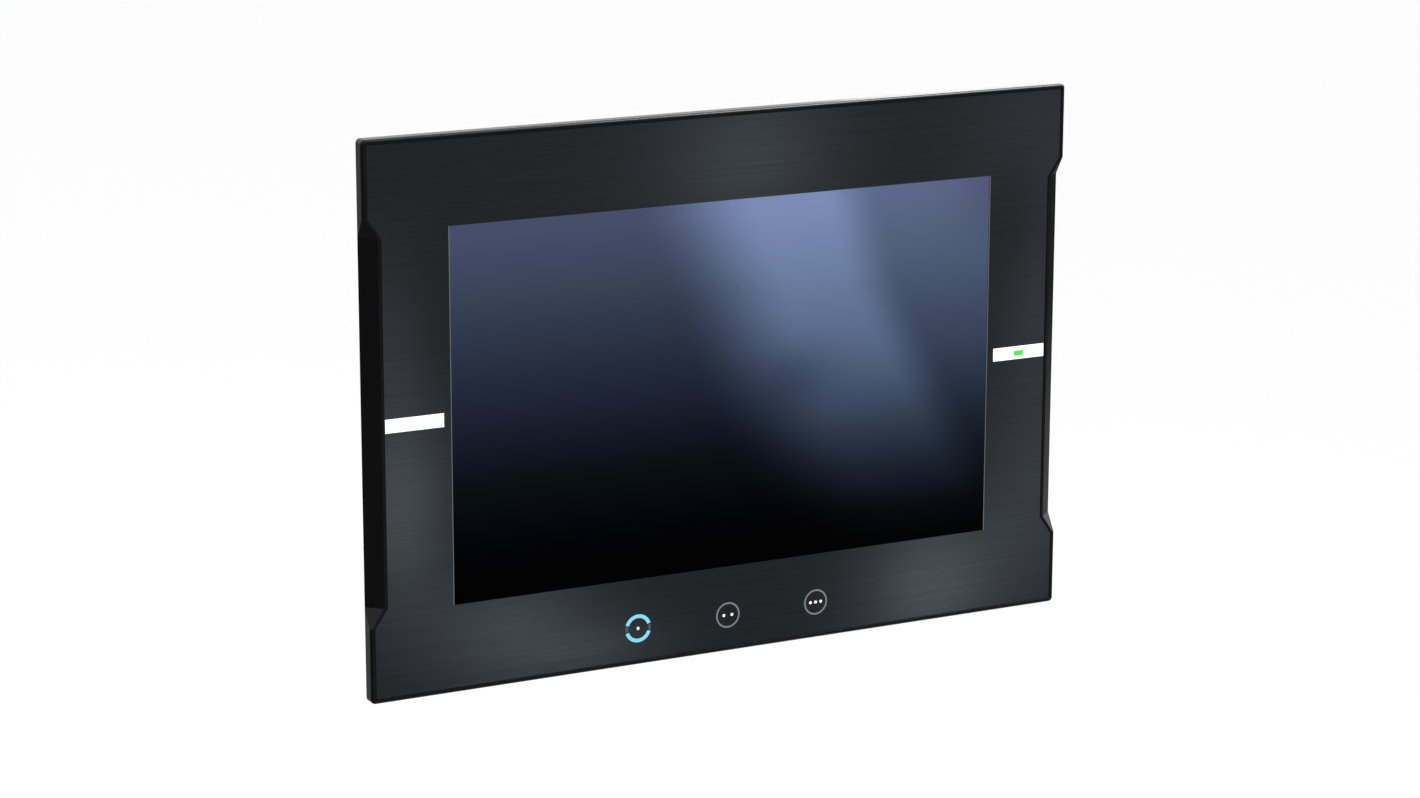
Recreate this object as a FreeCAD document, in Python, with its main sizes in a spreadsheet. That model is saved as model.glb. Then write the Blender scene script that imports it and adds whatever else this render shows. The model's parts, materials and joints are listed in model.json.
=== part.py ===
import FreeCAD, Part
import os
import re
import Sketcher
from FreeCAD import Placement, Rotation, Vector

# A touch panel for a control cabinet. Millimetres, +Z up, the screen faces -Y and +X is to the
# right of someone who looks at it. The origin is the centre of the flange's rear face, which is
# the plane that lies on the cabinet's wall.

SIZES = {
    # Flange: the frame in front of the cabinet's wall
    "flange_wide": 340.0,
    "flange_high": 242.0,
    "flange_deep": 6.0,
    "flange_corner": 2.0,
    "flange_edge": 1.2,
    "rim_wide": 2.0,
    "notch_deep": 6.7,
    "notch_rim": 1.2,
    "notch_long": 158.6,
    "notch_slope": 1.44,
    # Printed film and the window in it
    "film_gap": 0.3,
    "film_sunk": 0.1,
    "film_thick": 0.4,
    "window_wide": 262.7,
    "window_high": 164.2,
    # Touch sensor, display module and their seals
    "sensor_margin": 6.5,
    "sensor_thick": 1.8,
    "opening_margin": 1.7,
    "fit_gap": 0.2,
    "lip_thick": 1.2,
    "display_wide": 278.0,
    "display_high": 184.0,
    "display_deep": 8.0,
    "display_gap": 0.5,
    "bezel_sheet": 0.5,
    "cell_margin": 4.0,
    "cell_thick": 1.6,
    "light_thick": 4.6,
    "chassis_gap": 0.6,
    # Collar that passes through the cabinet's wall, and the seal round it
    "cutout_wide": 310.0,
    "cutout_high": 221.0,
    "collar_gap": 0.4,
    "collar_wall": 2.5,
    "collar_deep": 10.0,
    "seal_inset": 1.5,
    "seal_wide": 5.0,
    "seal_deep": 2.0,
    # Touch keys below the window
    "key_pitch": 44.3,
    "key_drop": 104.4,
    "key_radius": 6.4,
    "key_ring": 1.6,
    "key_guide_thick": 0.6,
    "key_board_wide": 118.0,
    "key_board_high": 15.0,
    "key_board_thick": 1.0,
    # Status light in the right-hand stripe
    "status_x": 148.3,
    "status_z": -0.7,
    "status_wide": 5.0,
    "status_high": 2.4,
    "status_lamp_front": 0.6,
    "status_lamp_thick": 1.4,
    "status_lamp_wide": 3.2,
    "status_lamp_high": 1.6,
    "status_board_wide": 7.0,
    "status_board_high": 20.0,
    "status_board_thick": 1.0,
    "status_post_radius": 1.5,
    # Metal plate behind the display, and the main board on its posts
    "sheet_thick": 1.2,
    "chassis_wide": 285.0,
    "chassis_high": 208.0,
    "chassis_screw_x": 100.0,
    "chassis_screw_z": 100.2,
    "boss_radius": 3.6,
    "ribbon_slot_x": 52.0,
    "ribbon_slot_wide": 20.0,
    "ribbon_slot_high": 9.0,
    "ribbon_wide": 12.0,
    "ribbon_thick": 0.3,
    "ribbon_gap": 0.4,
    "key_ribbon_z": 4.0,
    "ribbon_grip": 6.0,
    "post_long": 15.0,
    "post_radius": 2.9,
    "post_x": 112.0,
    "post_low": 37.0,
    "post_high_z": 50.0,
    "post_bore": 8.0,
    "board_wide": 244.0,
    "board_top": 62.0,
    "board_thick": 1.6,
    # Rear cover: a low step on the collar and a deeper one behind it
    "cover_wall": 2.0,
    "step_inset": 2.2,
    "step_back": 21.0,
    "case_wide": 284.0,
    "case_high": 190.0,
    "case_back": 63.0,
    "case_round": 4.0,
    "cover_screw_x": 146.8,
    "cover_screw_z": 88.0,
    "vent_wide": 3.0,
    "vent_long": 24.0,
    "vent_pitch": 8.0,
    "vent_count": 24,
    "vent_inset": 14.0,
    "vent_front": 6.0,
    "label_x": -80.0,
    "label_z": 8.0,
    "label_wide": 70.0,
    "label_high": 42.0,
    "label_thick": 0.15,
    # Screws: M3 inside, M4 for earth and clamps
    "screw_radius": 1.5,
    "screw_head_radius": 2.75,
    "screw_head_high": 1.9,
    "screw_drive": 1.15,
    "inner_screw_long": 6.0,
    "screw_gap": 0.15,
    "insert_radius": 2.3,
    "insert_long": 6.0,
    "big_screw_radius": 2.0,
    # Connector plate in the bottom of the case, and what it holds
    "plate_left": -139.0,
    "plate_right": 106.0,
    "plate_back": 56.0,
    "plate_thick": 1.0,
    "plate_lap": 3.0,
    "mouth_proud": 0.2,
    "port_gap": 0.3,
    "earth_x": -131.0,
    "earth_y": 34.0,
    "washer_radius": 4.5,
    "washer_thick": 0.8,
    "earth_head_radius": 3.6,
    "earth_head_high": 2.6,
    "earth_slot_long": 4.6,
    "earth_slot_wide": 0.9,
    "earth_slot_deep": 1.2,
    "earth_long": 9.0,
    "power_x": -112.0,
    "pin_pitch": 5.08,
    "pin_wide": 1.0,
    "socket_wide": 17.6,
    "socket_thick": 9.0,
    "socket_long": 12.0,
    "socket_wall": 0.7,
    "plug_slack": 0.12,
    "plug_grip_thick": 11.0,
    "plug_grip_long": 14.0,
    "plug_depth": 8.5,
    "plug_gap": 0.3,
    "wire_way_wide": 3.2,
    "wire_way_thick": 3.4,
    "wire_way_deep": 9.0,
    "terminal_z": 6.0,
    "terminal_radius": 1.75,
    "terminal_high": 1.9,
    "terminal_sunk": 1.0,
    "terminal_slot": 0.6,
    "mode_x": -94.0,
    "mode_travel": 3.0,
    "slider_wide": 2.2,
    "slider_gap": 0.3,
    "switch_deep": 6.0,
    "mode_wide": 9.0,
    "reset_wide": 6.0,
    "reset_x": -85.0,
    "reset_radius": 1.5,
    "reset_travel": 0.5,
    "serial_x": -63.0,
    "serial_wide": 30.8,
    "serial_thick": 12.5,
    "serial_mouth_wide": 16.9,
    "serial_mouth_thick": 8.3,
    "serial_shell": 0.5,
    "serial_long": 6.0,
    "serial_post_pitch": 25.0,
    "serial_post_radius": 2.7,
    "serial_post_long": 5.0,
    "serial_sheet": 0.8,
    "serial_slope": 0.18,
    "serial_pin_pitch": 2.77,
    "serial_pin_row": 1.42,
    "serial_pin_radius": 0.5,
    "ethernet_x": -24.0,
    "ethernet_pitch": 20.0,
    "ethernet_wide": 16.0,
    "ethernet_thick": 13.5,
    "ethernet_long": 21.0,
    "jack_wide": 11.8,
    "jack_thick": 8.4,
    "jack_deep": 13.0,
    "contact_pitch": 1.02,
    "contact_wide": 0.45,
    "contact_thick": 0.5,
    "usb_device_x": 16.0,
    "usb_device_wide": 12.0,
    "usb_device_thick": 11.0,
    "usb_device_way_wide": 8.5,
    "usb_device_way_thick": 7.8,
    "usb_device_tongue_wide": 5.6,
    "usb_device_tongue_thick": 3.2,
    "usb_x": 37.0,
    "usb_pitch": 18.0,
    "usb_wide": 13.2,
    "usb_thick": 5.8,
    "usb_long": 14.0,
    "usb_shell": 0.4,
    "usb_tongue_thick": 1.9,
    "usb_tongue_gap": 0.5,
    "tongue_sunk": 1.2,
    "card_x": 84.0,
    "card_wide": 24.0,
    "card_long": 32.0,
    "card_thick": 2.1,
    "card_proud": 5.0,
    "card_slack": 0.15,
    "card_wall": 0.6,
    "card_side": 2.0,
    # On the main board
    "chip_x": -30.0,
    "chip_z": 4.0,
    "chip_side": 27.0,
    "chip_thick": 2.2,
    "sink_wide": 64.0,
    "sink_high": 56.0,
    "sink_base": 3.0,
    "sink_fin_high": 16.0,
    "sink_fin_thick": 1.4,
    "sink_fin_count": 11,
    "memory_x": 18.0,
    "memory_z": -6.0,
    "memory_pitch_x": 15.0,
    "memory_pitch_z": 18.0,
    "memory_wide": 11.0,
    "memory_high": 13.0,
    "memory_thick": 1.1,
    "capacitor_x": -104.0,
    "capacitor_z": -20.0,
    "capacitor_pitch_x": 13.0,
    "capacitor_pitch_z": 14.0,
    "capacitor_radius": 5.0,
    "capacitor_long": 16.0,
    # Battery compartment in the rear cover and its door
    "battery_x": 86.0,
    "battery_z": 16.0,
    "battery_radius": 7.25,
    "battery_long": 25.0,
    "well_wide": 36.0,
    "well_high": 19.0,
    "well_deep": 18.0,
    "well_wall": 1.2,
    "door_wide": 44.0,
    "door_high": 30.0,
    "door_thick": 2.0,
    "door_gap": 0.4,
    "knuckle_radius": 1.9,
    "pin_radius": 0.9,
    "pin_slack": 0.05,
    "door_sunk": 0.3,
    "door_grip_wide": 14.0,
    "door_grip_high": 1.4,
    "door_grip_deep": 0.8,
    "battery_cap_radius": 2.5,
    # Clamps that pull the flange onto the wall
    "clamp_x": 128.0,
    "clamp_wide": 12.0,
    "clamp_front": 10.6,
    "clamp_back": 21.0,
    "clamp_slack": 0.06,
    "foot_radius": 2.6,
    "foot_thick": 2.0,
    "foot_front": 6.6,
    "clamp_screw_long": 22.0,
    "clamp_reach": 3.2,
    "clamp_hook_wide": 8.0,
    "clamp_hook_deep": 4.0,
    "clamp_hook_front": 2.0,
    "neck_radius": 1.24,
    "seat_radius": 1.3,
    "seat_deep": 1.2,
    "neck_gap": 0.1,
    "hex_radius": 1.15,
    "hex_deep": 2.2,
}

doc = FreeCAD.newDocument("touch_panel")
sheet = doc.addObject("Spreadsheet::Sheet", "Sizes")
for row, (alias, number) in enumerate(SIZES.items(), start=1):
    sheet.set(f"A{row}", alias)
    sheet.set(f"B{row}", str(number))
    sheet.setAlias(f"B{row}", alias)
doc.recompute()

# Places that follow from the sizes, as formulas
FRONT = "-flange_deep"
FILM_FRONT = f"({FRONT} + film_sunk)"
FILM_BACK = f"({FILM_FRONT} + film_thick)"
SENSOR_BACK = f"({FILM_BACK} + sensor_thick)"
LIP_BACK = f"({SENSOR_BACK} + lip_thick)"
DISPLAY_BACK = f"({LIP_BACK} + display_deep)"
CHASSIS_FRONT = f"({DISPLAY_BACK} + chassis_gap)"
CHASSIS_BACK = f"({CHASSIS_FRONT} + sheet_thick)"
BOARD_FRONT = f"({CHASSIS_BACK} + post_long)"
BOARD_BACK = f"({BOARD_FRONT} + board_thick)"
FILM_X = "(flange_wide / 2 - rim_wide - film_gap)"
FILM_Z = "(flange_high / 2 - rim_wide - film_gap)"
COLLAR_X = "(cutout_wide / 2 - collar_gap)"
COLLAR_Z = "(cutout_high / 2 - collar_gap)"
STEP_X = f"({COLLAR_X} - step_inset)"
STEP_Z = f"({COLLAR_Z} - step_inset)"
CASE_X = "(case_wide / 2)"
CASE_Z = "(case_high / 2)"
PLATE_TOP = f"(-{CASE_Z} + cover_wall + plate_thick)"
PLATE_LOW = f"(-{CASE_Z} + cover_wall)"
MOUTH = f"({PLATE_LOW} - mouth_proud)"
POST_LOW_Z = f"({PLATE_TOP} + post_low)"
RIBBON_BACK = "(step_back - cover_wall - ribbon_gap)"
CLAMP_Z = f"({COLLAR_Z} + foot_radius + collar_gap)"
NODES = []
TURNS = {"x": Rotation(Vector(0, 1, 0), 90), "y": Rotation(Vector(1, 0, 0), -90), "z": Rotation()}


def formula(text):
    """A formula with each size's name turned into its cell."""
    return re.sub(r"[a-z_]+", lambda word: f"Sizes.{word[0]}" if word[0] in SIZES else word[0], text)


def amount(text):
    """The present value of a formula."""
    return float(sheet.evalExpression(formula(text)))


def bind(item, target, text):
    item.setExpression(target, formula(text))


def node(item, name):
    """Give a finished sub-part the name of its file."""
    item.Label = name
    if item.Label != name:
        raise RuntimeError(f"{name} is the label of two objects")
    NODES.append(item)
    return item


def middle(size, centre="0"):
    """The two planes of a size that is centred on a place."""
    return f"({centre}) - ({size}) / 2", f"({centre}) + ({size}) / 2"


# Sketches and their features

def new_body(name):
    return doc.addObject("PartDesign::Body", name)


def new_sketch(body, plane, offset):
    sketch = body.newObject("Sketcher::SketchObject", f"{body.Name}_sketch")
    origin = next(item for item in body.Origin.OriginFeatures if item.Role == plane)
    sketch.AttachmentSupport = (origin, [""])
    sketch.MapMode = "FlatFace"
    bind(sketch, "AttachmentOffset.Base.z", offset)
    return sketch


def outline(sketch, points):
    """A closed outline of straight lines through points, each a pair of formulas."""
    first = sketch.GeometryCount
    corners = [Vector(amount(u), amount(v), 0) for u, v in points]
    count = len(points)
    for index, corner in enumerate(corners):
        sketch.addGeometry(Part.LineSegment(corner, corners[(index + 1) % count]), False)
    for index, (u, v) in enumerate(points):
        line = first + index
        sketch.addConstraint(Sketcher.Constraint("Coincident", line, 2, first + (index + 1) % count, 1))
        for kind, text in (("DistanceX", u), ("DistanceY", v)):
            number = sketch.addConstraint(Sketcher.Constraint(kind, -1, 1, line, 1, amount(text)))
            bind(sketch, f"Constraints[{number}]", text)


def rectangle(sketch, u, v):
    outline(sketch, [(u[0], v[0]), (u[1], v[0]), (u[1], v[1]), (u[0], v[1])])


def circle(sketch, u, v, radius):
    """A circle whose centre and radius are formulas."""
    line = sketch.addGeometry(Part.Circle(Vector(amount(u), amount(v), 0), Vector(0, 0, 1), amount(radius)))
    for kind, text in (("DistanceX", u), ("DistanceY", v)):
        number = sketch.addConstraint(Sketcher.Constraint(kind, -1, 1, line, 3, amount(text)))
        bind(sketch, f"Constraints[{number}]", text)
    number = sketch.addConstraint(Sketcher.Constraint("Radius", line, amount(radius)))
    bind(sketch, f"Constraints[{number}]", radius)


def pad(body, sketch, length):
    feature = body.newObject("PartDesign::Pad", f"{body.Name}_pad")
    feature.Profile = sketch
    bind(feature, "Length", length)
    return feature


def pocket(body, sketch, length):
    """A pocket that must remove something."""
    doc.recompute()
    before = body.Shape.Volume
    feature = body.newObject("PartDesign::Pocket", f"{body.Name}_pocket")
    feature.Profile = sketch
    bind(feature, "Length", length)
    doc.recompute()
    if body.Shape.Volume > before - 1e-3:
        raise RuntimeError(f"{feature.Name} removed nothing")
    return feature


def slab(body, u, v, y):
    """Material between two planes that face the screen's way."""
    sketch = new_sketch(body, "XZ_Plane", f"-({y[1]})")
    rectangle(sketch, u, v)
    return pad(body, sketch, f"({y[1]}) - ({y[0]})")


def opening(body, u, v, y):
    """A rectangular cut between two planes that face the screen's way."""
    sketch = new_sketch(body, "XZ_Plane", f"-({y[0]})")
    rectangle(sketch, u, v)
    return pocket(body, sketch, f"({y[1]}) - ({y[0]})")


def holes(body, places, radius, y):
    """Round holes along Y at several places."""
    sketch = new_sketch(body, "XZ_Plane", f"-({y[0]})")
    for u, v in places:
        circle(sketch, u, v, radius)
    return pocket(body, sketch, f"({y[1]}) - ({y[0]})")


def bosses(body, places, radius, y):
    """Round posts along Y at several places."""
    sketch = new_sketch(body, "XZ_Plane", f"-({y[1]})")
    for u, v in places:
        circle(sketch, u, v, radius)
    return pad(body, sketch, f"({y[1]}) - ({y[0]})")


def row(body, feature, step, count):
    """Repeat a feature along +X, a step apart."""
    pattern = body.newObject("PartDesign::LinearPattern", f"{body.Name}_row")
    pattern.Originals = [feature]
    pattern.Direction = (feature.Profile[0], ["H_Axis"])
    bind(pattern, "Length", f"({step}) * (({count}) - 1)")
    bind(pattern, "Occurrences", count)
    body.Tip = pattern
    return pattern


def dress(body, kind, size, wanted):
    """A fillet or chamfer on the edges that a test accepts."""
    doc.recompute()
    base = body.Tip
    names = [f"Edge{index}" for index, edge in enumerate(base.Shape.Edges, start=1) if wanted(edge)]
    feature = body.newObject(f"PartDesign::{kind}", f"{body.Name}_{kind}")
    feature.Base = (base, names)
    bind(feature, "Radius" if kind == "Fillet" else "Size", size)
    return feature


def along(edge, axis):
    """Whether an edge runs along an axis."""
    box = edge.BoundBox
    spans = {"x": box.XLength, "y": box.YLength, "z": box.ZLength}
    return spans[axis] > 1e-4 and all(spans[other] < 1e-4 for other in spans if other != axis)


def at(found, wanted):
    return abs(found - wanted) < 1e-3


# Solids made of primitives

def place(item, start):
    for axis, text in zip("xyz", start):
        bind(item, f"Placement.Base.{axis}", text)


def block(name, x, y, z):
    """A box between two planes on each axis."""
    item = doc.addObject("Part::Box", name)
    for side, (low, high) in zip(("Length", "Width", "Height"), (x, y, z)):
        bind(item, side, f"({high}) - ({low})")
    place(item, (x[0], y[0], z[0]))
    return item


def rod(name, axis, radius, start, length):
    """A cylinder that starts at a point and runs along an axis."""
    item = doc.addObject("Part::Cylinder", name)
    item.Placement = Placement(Vector(), TURNS[axis])
    bind(item, "Radius", radius)
    bind(item, "Height", length)
    place(item, start)
    return item


def prism(name, axis, sides, radius, start, length):
    """A regular prism that starts at a point and runs along an axis."""
    item = doc.addObject("Part::Prism", name)
    item.Placement = Placement(Vector(), TURNS[axis])
    item.Polygon = sides
    bind(item, "Circumradius", radius)
    bind(item, "Height", length)
    place(item, start)
    return item


def fuse(name, items):
    item = doc.addObject("Part::MultiFuse", name)
    item.Shapes = items
    return item


def cut(name, base, tools):
    item = doc.addObject("Part::Cut", name)
    item.Base = base
    item.Tool = tools[0] if len(tools) == 1 else fuse(f"{name}_tools", tools)
    return item


def group(name, items):
    item = doc.addObject("Part::Compound", name)
    item.Links = items
    return node(item, name)


def copies(master, places, turn=Rotation()):
    """Copies of a master piece, each at a point of formulas."""
    made = []
    for start in places:
        link = doc.addObject("App::Link", f"{master.Name}_copy")
        link.LinkedObject = master
        link.Placement = Placement(Vector(), turn)
        place(link, start)
        made.append(link)
    return made


def screw(name, radius, long, head_radius, head_high, drive):
    """A screw along +Y with the underside of its head at the origin and its shank to -Y."""
    head = rod(f"{name}_head", "y", head_radius, ("0", "0", "0"), head_high)
    shank = rod(f"{name}_shank", "y", radius, ("0", f"-({long})", "0"), long)
    key = prism(f"{name}_key", "y", 6, drive, ("0", f"({head_high}) * 0.35", "0"), head_high)
    return cut(name, fuse(f"{name}_solid", [head, shank]), [key])


# Front: frame, film, sensor and seals

def mirrored_places(x, z):
    return [(f"{a}({x})", f"{b}({z})") for a in ("-", "") for b in ("-", "")]


COVER_SCREWS = (mirrored_places("cover_screw_x", "cover_screw_z")
                + mirrored_places("cover_screw_x", "cover_screw_z / 3"))
CHASSIS_SCREWS = (mirrored_places("chassis_screw_x", "chassis_screw_z")
                  + [("0", "-chassis_screw_z"), ("0", "chassis_screw_z")])
BOARD_POSTS = [(x, z) for x in ("-post_x", "0", "post_x") for z in (POST_LOW_Z, "post_high_z")]
KEYS = [(f"key_pitch * {step}", "-key_drop") for step in (-1, 0, 1)]


def film_outline(sketch, gap):
    """The film's outline with its two side notches, grown by a gap."""
    x, z = f"({FILM_X} + {gap})", f"({FILM_Z} + {gap})"
    deep = f"(flange_wide / 2 - notch_deep - notch_rim - film_gap + {gap})"
    low = f"(notch_long / 2 - {gap} / 2)"
    high = f"({low} + ({x} - {deep}) * notch_slope)"
    right = [(x, f"-{high}"), (deep, f"-{low}"), (deep, low), (x, high)]
    left = [(f"-{u}", v) for u, v in reversed(right)]
    outline(sketch, [(f"-{x}", f"-{z}"), (x, f"-{z}")] + right + [(x, z), (f"-{x}", z)] + left)


def front_frame():
    body = new_body("front_frame")
    half_x, half_z = "(flange_wide / 2)", "(flange_high / 2)"
    slab(body, (f"-{half_x}", half_x), (f"-{half_z}", half_z), (FRONT, "0"))
    dress(body, "Fillet", "flange_corner",
          lambda edge: along(edge, "y") and at(abs(edge.CenterOfMass.x), amount(half_x)))
    # Each notch is a bevel that leaves the flange's rear edge whole
    for side in ("-", ""):
        cuts = []
        for depth, shift in ((FRONT, "0"), ("0", "notch_deep")):
            sketch = new_sketch(body, "XZ_Plane", f"-({depth})")
            inner = f"({half_x} - notch_deep + {shift})"
            outer = f"({half_x} + 2 + {shift})"
            reach = "(notch_long / 2 + (notch_deep + 2) * notch_slope)"
            outline(sketch, [(f"{side}{inner}", "-notch_long / 2"), (f"{side}{outer}", f"-{reach}"),
                             (f"{side}{outer}", reach), (f"{side}{inner}", "notch_long / 2")])
            cuts.append(sketch)
        loft = body.newObject("PartDesign::SubtractiveLoft", f"notch_{len(side)}")
        loft.Profile = cuts[0]
        loft.Sections = [cuts[1]]
        loft.Ruled = True
    dress(body, "Fillet", "flange_edge",
          lambda edge: at(edge.CenterOfMass.y, amount(FRONT)) and edge.BoundBox.YLength < 1e-4)
    # Recess of the film, which keeps a fine gap all round
    sketch = new_sketch(body, "XZ_Plane", f"-({FRONT})")
    film_outline(sketch, "film_gap")
    pocket(body, sketch, "film_sunk + film_thick")
    slab(body, (f"-{COLLAR_X}", COLLAR_X), (f"-{COLLAR_Z}", COLLAR_Z), ("-0.01", "collar_deep"))
    opening(body, middle(f"2 * ({COLLAR_X} - collar_wall)"), middle(f"2 * ({COLLAR_Z} - collar_wall)"),
            ("0", "collar_deep + 1"))
    bosses(body, COVER_SCREWS, "boss_radius", ("-0.01", "step_back - cover_wall"))
    bosses(body, CHASSIS_SCREWS, "boss_radius", ("-0.01", CHASSIS_FRONT))
    bosses(body, [("status_x", f"status_z {sign} (status_board_high / 2 - 2)") for sign in "+-"],
           "status_post_radius", ("-0.01", "status_lamp_front + status_lamp_thick"))
    opening(body, middle("window_wide + 2 * sensor_margin + 2 * fit_gap"),
            middle("window_high + 2 * sensor_margin + 2 * fit_gap"), (FILM_BACK, SENSOR_BACK))
    opening(body, middle("window_wide + 2 * opening_margin"), middle("window_high + 2 * opening_margin"),
            (SENSOR_BACK, "1"))
    opening(body, middle("display_wide + 2 * display_gap"), middle("display_high + 2 * display_gap"),
            (LIP_BACK, "1"))
    opening(body, middle("key_board_wide + 2 * fit_gap"), middle("key_board_high + 2 * fit_gap", "-key_drop"),
            (FILM_BACK, f"{FILM_BACK} + key_guide_thick + key_board_thick"))
    opening(body, middle("ribbon_wide + 2", "ribbon_slot_x"), middle("2", "key_ribbon_z - key_drop"),
            (FILM_BACK, "1"))
    opening(body, middle("ribbon_wide + 4", "-ribbon_slot_x"),
            middle("1.6", "window_high / 2 + sensor_margin + 0.6"), (FILM_BACK, "1"))
    opening(body, middle("status_wide + 0.2", "status_x"), middle("status_high + 0.2", "status_z"),
            (FILM_BACK, "1"))
    holes(body, COVER_SCREWS, "insert_radius", ("step_back - cover_wall - insert_long - 2", "step_back"))
    holes(body, CHASSIS_SCREWS, "screw_radius", ("0", "collar_deep"))
    # Groove of the wall seal
    sketch = new_sketch(body, "XZ_Plane", "seal_deep")
    for grow in ("seal_inset + seal_wide", "seal_inset"):
        rectangle(sketch, middle(f"cutout_wide + 2 * ({grow})"), middle(f"cutout_high + 2 * ({grow})"))
    pocket(body, sketch, "seal_deep + 1")
    node(body, "front_frame")


def front_overlay():
    body = new_body("front_overlay")
    sketch = new_sketch(body, "XZ_Plane", f"-({FILM_BACK})")
    film_outline(sketch, "0")
    pad(body, sketch, "film_thick")
    opening(body, middle("window_wide"), middle("window_high"), (FILM_FRONT, FILM_BACK))
    opening(body, middle("status_wide + 0.1", "status_x"), middle("status_high + 0.1", "status_z"),
            (FILM_FRONT, FILM_BACK))
    node(body, "front_overlay")


def ring(name, wide, high, inner_wide, inner_high, y):
    """A flat rectangular ring."""
    body = new_body(name)
    sketch = new_sketch(body, "XZ_Plane", f"-({y[1]})")
    rectangle(sketch, middle(wide), middle(high))
    rectangle(sketch, middle(inner_wide), middle(inner_high))
    pad(body, sketch, f"({y[1]}) - ({y[0]})")
    return node(body, name)


def screen():
    node(block("touch_sensor", middle("window_wide + 2 * sensor_margin"),
               (FILM_BACK, SENSOR_BACK), middle("window_high + 2 * sensor_margin")), "touch_sensor")
    inner = ("window_wide + 0.6", "window_high + 0.6")
    ring("display_gasket", "window_wide + 2 * opening_margin - 2 * fit_gap",
         "window_high + 2 * opening_margin - 2 * fit_gap", *inner, (SENSOR_BACK, LIP_BACK))
    bezel = new_body("lcd_bezel")
    slab(bezel, middle("display_wide"), middle("display_high"), (LIP_BACK, f"{DISPLAY_BACK} - 1"))
    opening(bezel, middle("display_wide - 2 * bezel_sheet"), middle("display_high - 2 * bezel_sheet"),
            (f"{LIP_BACK} + bezel_sheet", DISPLAY_BACK))
    opening(bezel, middle(inner[0]), middle(inner[1]), (LIP_BACK, DISPLAY_BACK))
    node(bezel, "lcd_bezel")
    cell_front = f"({LIP_BACK} + bezel_sheet)"
    cell_back = f"({cell_front} + cell_thick)"
    wide, high = "display_wide - 2 * cell_margin", "display_high - 2 * cell_margin"
    node(block("lcd_cell", middle(wide), (cell_front, cell_back), middle(high)), "lcd_cell")
    tray = new_body("backlight")
    inside = "display_wide - 2 * bezel_sheet - fit_gap", "display_high - 2 * bezel_sheet - fit_gap"
    slab(tray, middle(inside[0]), middle(inside[1]), (cell_back, DISPLAY_BACK))
    opening(tray, middle("display_wide - 60"), middle("display_high - 60"),
            (f"{cell_back} + light_thick", DISPLAY_BACK))
    node(tray, "backlight")
    ring("panel_seal", "cutout_wide + 2 * (seal_inset + seal_wide) - fit_gap",
         "cutout_high + 2 * (seal_inset + seal_wide) - fit_gap", "cutout_wide + 2 * seal_inset + fit_gap",
         "cutout_high + 2 * seal_inset + fit_gap", ("-seal_deep", "0"))


def keys_and_status():
    guide_back = f"({FILM_BACK} + key_guide_thick)"
    guides = []
    for x, z in KEYS:
        outer = rod("guide_outer", "y", "key_radius", (x, FILM_BACK, z), "key_guide_thick")
        inner = rod("guide_inner", "y", "key_radius - key_ring", (x, FILM_BACK, z), "key_guide_thick")
        guides.append(cut("guide", outer, [inner]))
    group("key_light_guides", guides)
    board_back = f"({guide_back} + key_board_thick)"
    node(block("key_board", middle("key_board_wide"), (guide_back, board_back),
               middle("key_board_high", "-key_drop")), "key_board")
    pipe = block("status_pipe", middle("status_wide", "status_x"), (FILM_FRONT, "status_lamp_front - 0.1"),
                 middle("status_high", "status_z"))
    node(pipe, "status_light_pipe")
    lamp_back = "(status_lamp_front + status_lamp_thick)"
    lamp = block("status_lamp", middle("status_lamp_wide", "status_x"), ("status_lamp_front", lamp_back),
                 middle("status_lamp_high", "status_z"))
    card = block("status_card", middle("status_board_wide", "status_x"),
                 (lamp_back, f"{lamp_back} + status_board_thick"), middle("status_board_high", "status_z"))
    node(fuse("status_board_solid", [lamp, card]), "status_board")


def ribbons():
    """Flat ribbons with square folds, from the keys, the sensor and the display to the main board."""
    thin = "ribbon_thick"
    wide = middle("ribbon_wide", "ribbon_slot_x")
    start = f"({FILM_BACK} + key_guide_thick + key_board_thick)"
    low = "(key_ribbon_z - key_drop)"
    back = f"({RIBBON_BACK} - 1)"
    top = f"({PLATE_TOP} + ribbon_grip)"
    run = block("key_ribbon_run", wide, (start, back), (f"{low} - {thin}", low))
    rise = block("key_ribbon_rise", wide, (f"{back} - {thin}", back), (f"{low} - {thin}", top))
    end = block("key_ribbon_end", wide, (f"{back} - {thin}", BOARD_FRONT), (top, f"{top} + {thin}"))
    node(fuse("key_ribbon", [run, rise, end]), "key_ribbon")
    plane = f"({CHASSIS_FRONT} - 0.4)"
    high = "(chassis_high / 2 - ribbon_slot_high / 2 + 1)"
    grip = "(board_top - ribbon_grip)"
    for name, x in (("touch_ribbon", "-ribbon_slot_x"), ("lcd_ribbon", "ribbon_slot_x")):
        wide = middle("ribbon_wide", x)
        root = block(f"{name}_root", wide, (plane, f"{plane} + {thin}"),
                     ("(display_high / 2 - 12)", f"{high} + {thin}"))
        run = block(f"{name}_run", wide, (plane, RIBBON_BACK), (high, f"{high} + {thin}"))
        front = f"({RIBBON_BACK} - {thin})"
        fall = block(f"{name}_fall", wide, (front, RIBBON_BACK), (grip, f"{high} + {thin}"))
        end = block(f"{name}_end", wide, (front, BOARD_FRONT), (grip, f"{grip} + {thin}"))
        node(fuse(name, [root, run, fall, end]), name)


# Inside: chassis, boards and their parts

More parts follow.
